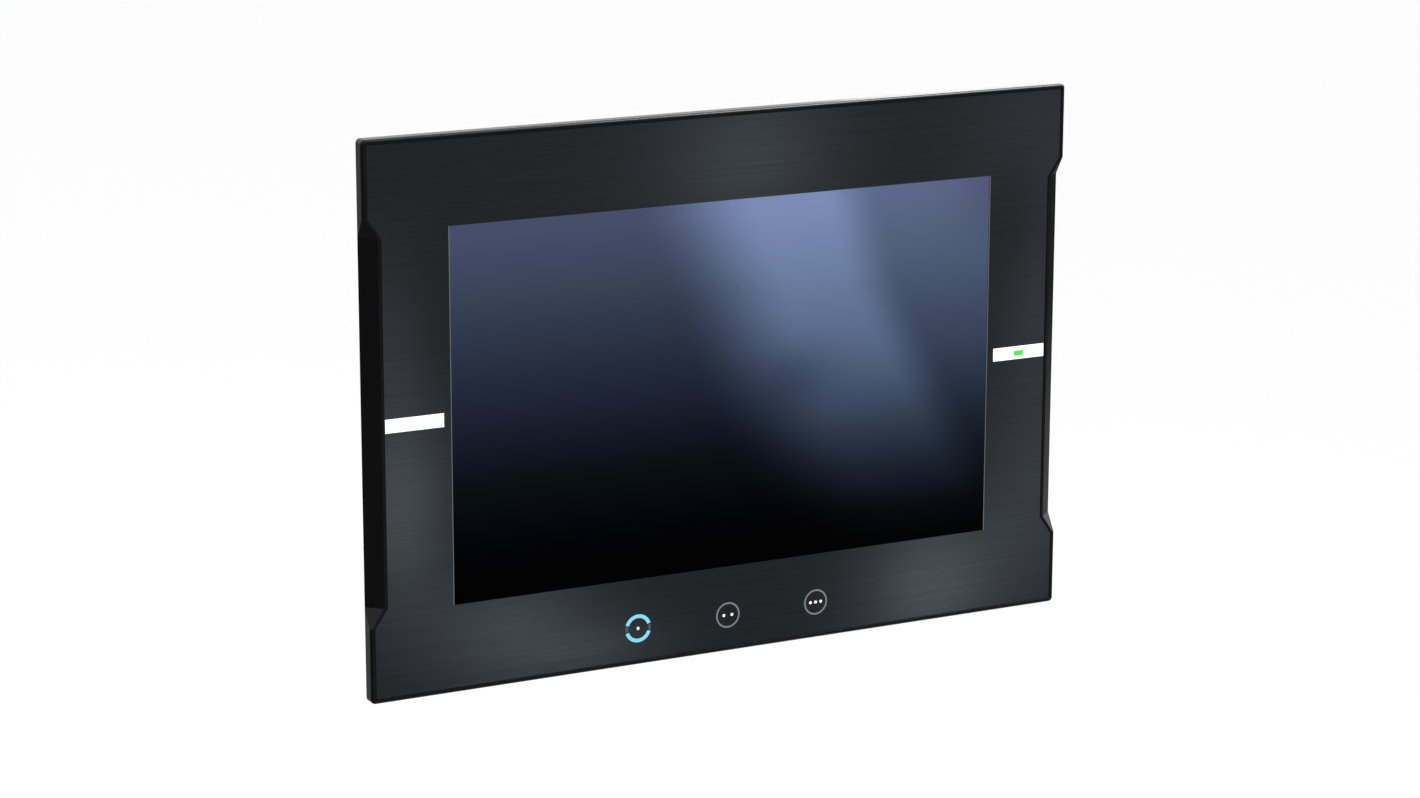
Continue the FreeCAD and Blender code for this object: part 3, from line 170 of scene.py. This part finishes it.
class Shader:
    """A material and short ways to add nodes to it."""

    def __init__(self, name):
        self.material = bpy.data.materials.new(name)
        self.material.use_nodes = True
        self.nodes = self.material.node_tree.nodes
        self.links = self.material.node_tree.links
        self.base = self.nodes["Principled BSDF"]
        self.place = self.nodes.new("ShaderNodeTexCoord").outputs["Object"]

    def add(self, kind, inputs=None, **settings):
        item = self.nodes.new(kind)
        for key, value in settings.items():
            setattr(item, key, value)
        for key, value in (inputs or {}).items():
            self.put(item.inputs[key], value)
        return item

    def put(self, socket, value):
        if isinstance(value, bpy.types.NodeSocket):
            self.links.new(value, socket)
        else:
            socket.default_value = value

    def math(self, operation, first, second):
        return self.add("ShaderNodeMath", {0: first, 1: second}, operation=operation).outputs[0]

    def split(self, vector):
        """The three numbers of a vector."""
        return self.add("ShaderNodeSeparateXYZ", {0: vector}).outputs

    def scaled(self, factors):
        item = self.add("ShaderNodeVectorMath", {0: self.place, 1: factors}, operation="MULTIPLY")
        return item.outputs[0]

    def noise(self, size, stretch=(1, 1, 1), detail=3.0):
        """Noise with grains of a size in metres, longer by the stretch along each axis."""
        where = self.scaled(tuple(1 / (size * s) for s in stretch))
        item = self.add("ShaderNodeTexNoise", {"Vector": where, "Scale": 1.0, "Detail": detail})
        return item.outputs["Fac"]

    def ramp(self, value, low, high, to_low=0.0, to_high=1.0, smooth=True):
        kind = "SMOOTHSTEP" if smooth else "LINEAR"
        item = self.add("ShaderNodeMapRange", {0: value, 1: low, 2: high, 3: to_low, 4: to_high},
                        interpolation_type=kind)
        return item.outputs[0]

    def mix(self, factor, first, second):
        item = self.add("ShaderNodeMix", data_type="RGBA")
        self.put(item.inputs[0], factor)
        self.put(item.inputs[6], first)
        self.put(item.inputs[7], second)
        return item.outputs[2]


def solid(color):
    return (*color, 1.0)


def surface(name, color, rough, metal=0.0, grain=0.6 * MM, stretch=(1, 1, 1), bump=0.15, depth=0.02 * MM,
            patch=0.12, edge=0.25 * MM, wear=0.0, wear_color=None, specular=0.5, shine=None, ior=1.5,
            coat=0.0, anisotropy=0.0):
    """A finish with fine grain, slow colour changes, rounded edges and wear along them."""
    s = Shader(name)
    fine = s.noise(grain, stretch)
    slow = s.noise(18 * MM, detail=2.0)
    dark = solid([c * (1 - patch) for c in color])
    light = solid([min(1.0, c * (1 + patch)) for c in color])
    tone = s.mix(slow, dark, light)
    tone = s.mix(s.ramp(fine, 0.3, 0.7, 0.0, 0.35), tone, light)
    round_edge = s.add("ShaderNodeBevel", {"Radius": edge}, samples=4).outputs[0]
    if wear > 0:
        flat = s.add("ShaderNodeNewGeometry").outputs["True Normal"]
        turn = s.add("ShaderNodeVectorMath", {0: round_edge, 1: flat}, operation="DOT_PRODUCT")
        on_edge = s.ramp(turn.outputs["Value"], 0.995, 0.85)
        rub = s.math("MULTIPLY", on_edge, s.ramp(s.noise(4 * MM), 0.42, 0.62))
        worn = wear_color or [min(1.0, c * 2.2 + 0.05) for c in color]
        tone = s.mix(s.math("MULTIPLY", rub, wear), tone, solid(worn))
    s.put(s.base.inputs["Base Color"], tone)
    smoothest, roughest = max(0.02, rough - 0.06), min(1.0, rough + 0.06)
    s.put(s.base.inputs["Roughness"], s.ramp(fine, 0.25, 0.75, smoothest, roughest))
    s.base.inputs["Metallic"].default_value = metal
    s.base.inputs["Specular IOR Level"].default_value = specular
    if shine:
        s.put(s.base.inputs["Specular IOR Level"], shine(s))
    s.base.inputs["IOR"].default_value = ior
    s.base.inputs["Coat Weight"].default_value = coat
    s.base.inputs["Coat Roughness"].default_value = 0.08
    s.base.inputs["Anisotropic"].default_value = anisotropy
    lumps = s.add("ShaderNodeBump",
                  {"Height": fine, "Normal": round_edge, "Strength": bump, "Distance": depth})
    s.put(s.base.inputs["Normal"], lumps.outputs[0])
    return s.material


def painted_frame_shine(s):
    """Painted shine of the frame: highlight on upper edges, shade on the flanks, the right one dullest near
    the top.
    """
    facing = s.split(s.add("ShaderNodeNewGeometry").outputs["Normal"])
    height = s.split(s.place)[2]
    # Upward faces gain a painted highlight; the flanks lose shine as painted shade, set by facing and height
    upper = s.ramp(facing[2], 0.1, 0.45, 0.0, UPPER_GAIN)
    right = s.math("MULTIPLY", s.ramp(facing[0], 0.15, 0.45), s.ramp(height, *RIGHT_HEIGHTS, *RIGHT_LOSS))
    left = s.ramp(facing[0], -0.15, -0.5, 0.0, LEFT_LOSS)
    flanks = s.math("SUBTRACT", s.math("SUBTRACT", FRAME_SHINE, right), left)
    return s.math("MAXIMUM", s.math("ADD", upper, flanks), 0.0)


def hill(s, axis_x, axis_z, centre, spread, height):
    """A soft round patch, centred on a place in millimetres and fading away from it."""
    across = s.math("DIVIDE", s.math("SUBTRACT", axis_x, centre[0] * MM), spread[0] * MM)
    up = s.math("DIVIDE", s.math("SUBTRACT", axis_z, centre[1] * MM), spread[1] * MM)
    square = s.math("ADD", s.math("MULTIPLY", across, across), s.math("MULTIPLY", up, up))
    return s.math("MULTIPLY", s.math("POWER", math.e, s.math("MULTIPLY", square, -1.0)), height)


def brushed_film():
    """Graphite film with a fine horizontal brush and a slow painted sheen, brightest in a few soft patches.
    """
    s = Shader("brushed_film")
    x, _, z = s.split(s.place)
    # The film's own tone, lightened in soft patches by painted sheen
    tone_and_painted_sheen = FILM_TONE
    for centre, spread, height in FILM_PAINTED_SHEEN:
        tone_and_painted_sheen = s.math("ADD", tone_and_painted_sheen, hill(s, x, z, centre, spread, height))
    brush = s.noise(0.11 * MM, (180, 1, 1))
    bands = s.noise(0.7 * MM, (140, 1, 1), detail=2.0)
    lines = s.math("ADD", s.math("MULTIPLY", brush, 0.6), s.math("MULTIPLY", bands, 0.4))
    level = s.math("MULTIPLY", tone_and_painted_sheen, s.ramp(lines, 0.36, 0.64, 0.94, 1.06, smooth=False))
    tint = s.add("ShaderNodeVectorMath", {0: FILM_TINT, "Scale": level}, operation="SCALE")
    shade = s.add("ShaderNodeGamma", {"Color": tint.outputs[0], "Gamma": FILM_POWER})
    s.put(s.base.inputs["Base Color"], shade.outputs[0])
    s.put(s.base.inputs["Roughness"], s.ramp(lines, 0.3, 0.7, 0.42, 0.52))
    s.base.inputs["Metallic"].default_value = 0.0
    s.base.inputs["Specular IOR Level"].default_value = 0.02
    s.base.inputs["Anisotropic"].default_value = 0.6
    lumps = s.add("ShaderNodeBump", {"Height": lines, "Strength": 0.08, "Distance": 0.01 * MM})
    s.put(s.base.inputs["Normal"], lumps.outputs[0])
    return s.material


def painted_fade(s, z):
    """The painted reflection's colour at each height, from black at the foot to slate blue at the top."""
    fade = s.add("ShaderNodeValToRGB", {0: s.ramp(z, -SCREEN_EDGE, SCREEN_EDGE, smooth=False)})
    for _ in SCREEN_REFLECTION_FADE[2:]:
        fade.color_ramp.elements.new(0.5)
    for element, (height, color) in zip(fade.color_ramp.elements, SCREEN_REFLECTION_FADE):
        element.position = (height * MM + SCREEN_EDGE) / (2 * SCREEN_EDGE)
        element.color = solid(color)
    return fade.outputs[0]


def painted_streak(s, x, z):
    """One pale painted highlight streak, leaning to the right on its way down and fading towards the bottom.
    """
    drop = s.math("SUBTRACT", STREAK_TOP, z)
    along = s.math("SUBTRACT", x, s.math("MULTIPLY", s.math("MULTIPLY", drop, drop), STREAK_CURVE))
    upper = s.math("MAXIMUM", s.math("SUBTRACT", z, STREAK_UPPER), 0.0)
    lower = s.math("MAXIMUM", s.math("SUBTRACT", STREAK_LOWER, z), 0.0)
    left = s.ramp(s.math("ADD", along, s.math("MULTIPLY", upper, LEFT_SLANT)), *LEFT_EDGE)
    bend = s.math("SUBTRACT", s.math("MULTIPLY", upper, RIGHT_SLANT),
                  s.math("MULTIPLY", lower, RIGHT_SPREAD))
    right = s.ramp(s.math("ADD", x, bend), *RIGHT_EDGE, 1.0, RIGHT_LEVEL)
    whole = 1.0
    for centre, spread, depth in STREAK_DIPS:
        whole = s.math("SUBTRACT", whole, hill(s, x, z, centre, spread, depth))
    faded = s.math("MULTIPLY", s.ramp(z, *STREAK_END), whole)
    streak = s.math("MULTIPLY", s.math("MULTIPLY", left, right), faded)
    return s.add("ShaderNodeVectorMath", {0: STREAK_COLOR, "Scale": streak}, operation="SCALE").outputs[0]


def screen_glass():
    """Dark glass glowing with a painted reflection: slate blue fading to black, and one curved pale streak.
    """
    s = Shader("screen_glass")
    x, _, z = s.split(s.place)
    painted_reflection = s.add("ShaderNodeVectorMath", {0: painted_fade(s, z), 1: painted_streak(s, x, z)},
                    operation="ADD")
    # From the painted reflection's values to light, by the glow curve
    lifted = s.add("ShaderNodeVectorMath", {0: painted_reflection.outputs[0], 1: (GLOW_OFFSET,) * 3},
                   operation="ADD")
    scaled = s.add("ShaderNodeVectorMath", {0: lifted.outputs[0], 1: (1 + GLOW_OFFSET,) * 3},
                   operation="DIVIDE")
    shown = s.add("ShaderNodeGamma", {"Color": scaled.outputs[0], "Gamma": GLOW_POWER})
    s.base.inputs["Base Color"].default_value = (0.0, 0.0, 0.0, 1.0)
    # The painted reflection leaves the glass as glow
    s.put(s.base.inputs["Emission Color"], shown.outputs[0])
    s.base.inputs["Emission Strength"].default_value = 1.0
    s.base.inputs["Specular IOR Level"].default_value = 0.0
    s.put(s.base.inputs["Roughness"], s.ramp(s.noise(30 * MM), 0.3, 0.7, 0.06, 0.1))
    return s.material


def glowing(name, color, strength):
    """A lit lens: one colour, a little uneven in its grain."""
    s = Shader(name)
    tone = s.mix(s.ramp(s.noise(0.5 * MM), 0.35, 0.65), solid([c * 0.9 for c in color]), solid(color))
    s.put(s.base.inputs["Base Color"], tone)
    s.put(s.base.inputs["Emission Color"], tone)
    s.base.inputs["Emission Strength"].default_value = strength
    rough = s.ramp(s.noise(0.3 * MM), 0.3, 0.7, LENS_ROUGH - 0.05, LENS_ROUGH + 0.05)
    s.put(s.base.inputs["Roughness"], rough)
    return s.material


def materials():
    """One material for each slot of the record, and for the print."""
    return {
        "frame_black": surface("frame_black", (0.0022, 0.0022, 0.0024), 0.22, grain=0.35 * MM, bump=0.1,
                               edge=0.4 * MM, shine=painted_frame_shine, ior=1.2, wear=0.15,
                               wear_color=(0.012, 0.012, 0.012)),
        "brushed_film": brushed_film(),
        "screen_glass": screen_glass(),
        "white_print": surface("white_print", (0.93, 0.93, 0.93), 0.5, bump=0.04, patch=0.015,
                               edge=0.02 * MM),
        "ring_grey": surface("ring_grey", (0.115, 0.135, 0.15), 0.5, bump=0.05, patch=0.05, edge=0.02 * MM),
        "black_foam": surface("black_foam", (0.012, 0.012, 0.012), 0.9, grain=0.25 * MM, bump=0.7,
                              specular=0.2),
        "black_rubber": surface("black_rubber", (0.014, 0.014, 0.014), 0.75, grain=0.5 * MM, bump=0.3,
                                specular=0.3),
        "zinc_steel": surface("zinc_steel", (0.56, 0.57, 0.58), 0.34, metal=1.0, grain=0.12 * MM,
                              stretch=(40, 1, 1), bump=0.1, patch=0.08, wear=0.4, anisotropy=0.4),
        "white_plastic": surface("white_plastic", (0.78, 0.78, 0.74), 0.38, bump=0.06, patch=0.03),
        "light_guide": glowing("light_guide", (0.75, 0.85, 0.88), 0.2),
        "circuit_board": surface("circuit_board", (0.012, 0.12, 0.045), 0.34, grain=1.6 * MM,
                                 stretch=(5, 1, 1), bump=0.25, depth=0.05 * MM, patch=0.3, coat=0.4),
        "green_lens": glowing("green_lens", (0.0, 0.74, 0.012), 0.9),
        "ribbon_film": surface("ribbon_film", (0.62, 0.62, 0.58), 0.36, grain=0.5 * MM,
                               stretch=(0.6, 60, 60), bump=0.3, patch=0.1),
        "screw_steel": surface("screw_steel", (0.45, 0.45, 0.44), 0.3, metal=1.0, grain=0.15 * MM, bump=0.15,
                               patch=0.12, wear=0.5, edge=0.15 * MM),
        "brass_parts": surface("brass_parts", (0.68, 0.47, 0.18), 0.28, metal=1.0, grain=0.1 * MM,
                               stretch=(1, 30, 1), bump=0.12, patch=0.1, edge=0.15 * MM),
        "chip_black": surface("chip_black", (0.014, 0.014, 0.015), 0.55, grain=0.3 * MM, bump=0.3,
                              edge=0.12 * MM),
        "bare_aluminium": surface("bare_aluminium", (0.68, 0.68, 0.69), 0.4, metal=1.0, grain=0.14 * MM,
                                  stretch=(1, 1, 40), bump=0.15, patch=0.06, wear=0.3),
        "cover_grey": surface("cover_grey", (0.028, 0.029, 0.031), 0.58, grain=0.45 * MM, bump=0.5,
                              depth=0.05 * MM, edge=0.5 * MM, specular=0.35, wear=0.45,
                              wear_color=(0.09, 0.09, 0.09)),
        "label_silver": surface("label_silver", (0.62, 0.63, 0.64), 0.42, metal=0.3, grain=0.3 * MM,
                                bump=0.08, patch=0.04, edge=0.03 * MM),
        "port_metal": surface("port_metal", (0.62, 0.62, 0.6), 0.25, metal=1.0, grain=0.2 * MM,
                              stretch=(1, 1, 20), bump=0.12, patch=0.08, wear=0.5, edge=0.15 * MM),
        "gold_contacts": surface("gold_contacts", (0.83, 0.6, 0.22), 0.22, metal=1.0, bump=0.08,
                                 edge=0.05 * MM),
        "terminal_green": surface("terminal_green", (0.012, 0.19, 0.055), 0.42, grain=0.4 * MM, bump=0.25,
                                  wear=0.3),
        "card_blue": surface("card_blue", (0.02, 0.045, 0.16), 0.4, grain=0.4 * MM, bump=0.2, wear=0.3),
        "button_red": surface("button_red", (0.42, 0.02, 0.015), 0.4, bump=0.15, wear=0.2),
        "battery_wrap": surface("battery_wrap", (0.62, 0.6, 0.06), 0.3, bump=0.1, patch=0.05, coat=0.3),
        "clamp_metal": surface("clamp_metal", (0.5, 0.49, 0.45), 0.42, metal=1.0, grain=0.5 * MM, bump=0.4,
                               patch=0.15, wear=0.6, edge=0.4 * MM),
        "ring_cyan": glowing("ring_cyan", (0.12, 0.45, 0.56), 0.32),
        "ring_teal": surface("ring_teal", (0.006, 0.045, 0.068), 0.5, bump=0.05, edge=0.02 * MM),
        "border_line": surface("border_line", (0.07, 0.08, 0.095), 0.4, bump=0.05, edge=0.02 * MM),
        "label_ink": surface("label_ink", (0.05, 0.05, 0.055), 0.5, bump=0.05, edge=0.02 * MM),
    }


# Pieces made here: flat print with a little thickness

def sheet_piece(name, outlines, front, back, material, slot):
    """A piece made of flat outlines in X and Z, with thickness along Y."""
    mesh = bpy.data.meshes.new(name)
    bm = bmesh.new()
    for points in outlines:
        face = bm.faces.new([bm.verts.new((x, front, z)) for x, z in points])
        grown = bmesh.ops.extrude_face_region(bm, geom=[face])
        moved = [item for item in grown["geom"] if isinstance(item, bmesh.types.BMVert)]
        bmesh.ops.translate(bm, verts=moved, vec=(0, back - front, 0))
    bmesh.ops.recalc_face_normals(bm, faces=bm.faces)
    bm.to_mesh(mesh)
    bm.free()
    piece = bpy.data.objects.new(name, mesh)
    SCENE.collection.objects.link(piece)
    mesh.materials.append(material)
    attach(piece, "root")


def arc_outline(centre, outer, inner, start, end, steps=48):
    """The outline of a part of a ring between two angles in degrees."""
    angles = [math.radians(start + (end - start) * step / steps) for step in range(steps + 1)]
    far = [(centre[0] + outer * math.cos(a), centre[1] + outer * math.sin(a)) for a in angles]
    near = [(centre[0] + inner * math.cos(a), centre[1] + inner * math.sin(a)) for a in reversed(angles)]
    return far + near


def ring_outlines(centre, outer, inner, cuts=4):
    """A whole ring as several joined arcs."""
    return [arc_outline(centre, outer, inner, 360 / cuts * n, 360 / cuts * (n + 1), 24) for n in range(cuts)]


def disc_outline(centre, radius, steps=32):
    return [(centre[0] + radius * math.cos(2 * math.pi * n / steps),
             centre[1] + radius * math.sin(2 * math.pi * n / steps)) for n in range(steps)]


def rectangle(left, right, low, high):
    return [(left, low), (right, low), (right, high), (left, high)]


def side_stripes(look, ink):
    """A white stripe at each side, with the status lens let into the right one."""
    low, high = STRIPE_LOW - STRIPE_HIGH / 2, STRIPE_LOW + STRIPE_HIGH / 2
    lens_low, lens_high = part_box("status_light_pipe")
    left = rectangle(-STRIPE_OUTER, -STRIPE_INNER, low, high)
    sheet_piece("stripe_left", [left], *ink, look["white_print"], "white_print")
    round_lens = [rectangle(STRIPE_INNER, lens_low[0], low, high),
                  rectangle(lens_high[0], STRIPE_OUTER, low, high),
                  rectangle(lens_low[0], lens_high[0], low, lens_low[2]),
                  rectangle(lens_low[0], lens_high[0], lens_high[2], high)]
    sheet_piece("stripe_right", round_lens, *ink, look["white_print"], "white_print")


def window_border(look, ink):
    """Thin lines down both sides of the screen."""
    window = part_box("display_gasket")
    side, top = window[1][0] - GASKET_LAP, window[1][2] - GASKET_LAP
    strips = [rectangle(x, x + BORDER, -top, top) for x in (-side - BORDER, side)]
    sheet_piece("window_border", strips, *ink, look["border_line"], "ring_grey")


def key_marks(look, ink):
    """The rings and dots of the three keys."""
    centres = [(KEY_PITCH * step, KEY_Z) for step in (-1, 0, 1)]
    arcs = [arc_outline(centres[0], ARC_OUTER, ARC_INNER, turn + ARC_FROM, turn + ARC_TO)
            for turn in (0, 180)]
    sheet_piece("key_1_arcs", arcs, *ink, look["ring_cyan"], "light_guide")
    gaps = [arc_outline(centres[0], GAP_OUTER, GAP_INNER, turn - GAP_HALF, turn + GAP_HALF, 12)
            for turn in (0, 180)]
    sheet_piece("key_1_gaps", gaps, *ink, look["ring_teal"], "ring_grey")
    for number, centre in enumerate(centres[1:], start=2):
        ring = ring_outlines(centre, RING_OUTER, RING_INNER)
        sheet_piece(f"key_{number}_ring", ring, *ink, look["ring_grey"], "ring_grey")
    for number, (centre, places) in enumerate(zip(centres, DOT_PLACES), start=1):
        dots = [disc_outline((centre[0] + shift, centre[1]), DOT_RADIUS) for shift in places]
        sheet_piece(f"key_{number}_dots", dots, *ink, look["white_print"], "white_print")


def print_on_film(look):
    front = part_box("front_overlay")[0][1]
    ink = (front - INK, front)
    side_stripes(look, ink)
    window_border(look, ink)
    key_marks(look, ink)


def label_print(look):
    """Blank rules and one filled field on the label, with no words."""
    low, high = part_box("rating_label")
    width, height = high[0] - low[0], high[2] - low[2]
    left, right = low[0] + width * LABEL_MARGIN, high[0] - width * LABEL_MARGIN
    outlines = []
    for row in range(LABEL_RULES):
        z = low[2] + height * (LABEL_FIRST + LABEL_STEP * row)
        outlines.append(rectangle(left, right, z, z + LABEL_RULE_HIGH))
    outlines.append(rectangle(left, low[0] + width * FIELD_RIGHT,
                              high[2] - height * FIELD_LOW, high[2] - height * FIELD_TOP))
    sheet_piece("label_print", outlines, high[1], high[1] + INK, look["label_ink"], "frame_black")


# Light, floor and camera

def studio():
    world = bpy.data.worlds.new("studio")
    SCENE.world = world
    world.use_nodes = True
    back = world.node_tree.nodes["Background"]
    back.inputs["Color"].default_value = (1, 1, 1, 1)
    back.inputs["Strength"].default_value = SKY_LIGHT
    floor_plane()
    for name, place, size, power in LAMPS:
        lamp = bpy.data.lights.new(name, "AREA")
        lamp.size = size
        lamp.energy = power
        item = bpy.data.objects.new(name, lamp)
        item.location = place
        item.visible_camera = False
        item.rotation_euler = (-Vector(place)).to_track_quat("-Z", "Y").to_euler()
        SCENE.collection.objects.link(item)


def floor_plane():
    half, level = FLOOR_HALF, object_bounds()[0][2] - FLOOR_DROP
    mesh = bpy.data.meshes.new("floor")
    corners = [(-half, -half, level), (half, -half, level), (half, half, level), (-half, half, level)]
    mesh.from_pydata(corners, [], [(0, 1, 2, 3)])
    floor = bpy.data.objects.new("floor", mesh)
    SCENE.collection.objects.link(floor)
    paint = surface("floor_paint", (0.95, 0.95, 0.95), 0.8, patch=0.005, grain=5 * MM, specular=0.1)
    mesh.materials.append(paint)
    floor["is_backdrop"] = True


def camera():
    """The camera, a set distance from the middle of the film's front."""
    forward = Vector((math.sin(YAW) * math.cos(PITCH), math.cos(YAW) * math.cos(PITCH), -math.sin(PITCH)))
    level = Vector((math.cos(YAW), -math.sin(YAW), 0))
    up = level.cross(forward)
    right = level * math.cos(ROLL) + up * math.sin(ROLL)
    top = up * math.cos(ROLL) - level * math.sin(ROLL)
    aim = Vector((0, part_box("front_overlay")[0][1], 0))
    data = bpy.data.cameras.new("camera")
    data.lens = LENS_MM
    data.sensor_width = SENSOR_MM
    data.clip_end = VIEW_FAR
    item = bpy.data.objects.new("camera", data)
    spot = aim - right * AIM_RIGHT - top * AIM_UP - forward * DISTANCE
    item.matrix_world = Matrix((
        (right.x, top.x, -forward.x, spot.x),
        (right.y, top.y, -forward.y, spot.y),
        (right.z, top.z, -forward.z, spot.z),
        (0, 0, 0, 1)))
    SCENE.collection.objects.link(item)
    SCENE.camera = item


SCENE.view_settings.view_transform = "Standard"
looks = materials()
for node, slot in SLOTS.items():
    mesh = bpy.data.objects[node].data
    mesh.materials.clear()
    mesh.materials.append(looks[slot])
print_on_film(looks)
label_print(looks)
studio()
camera()
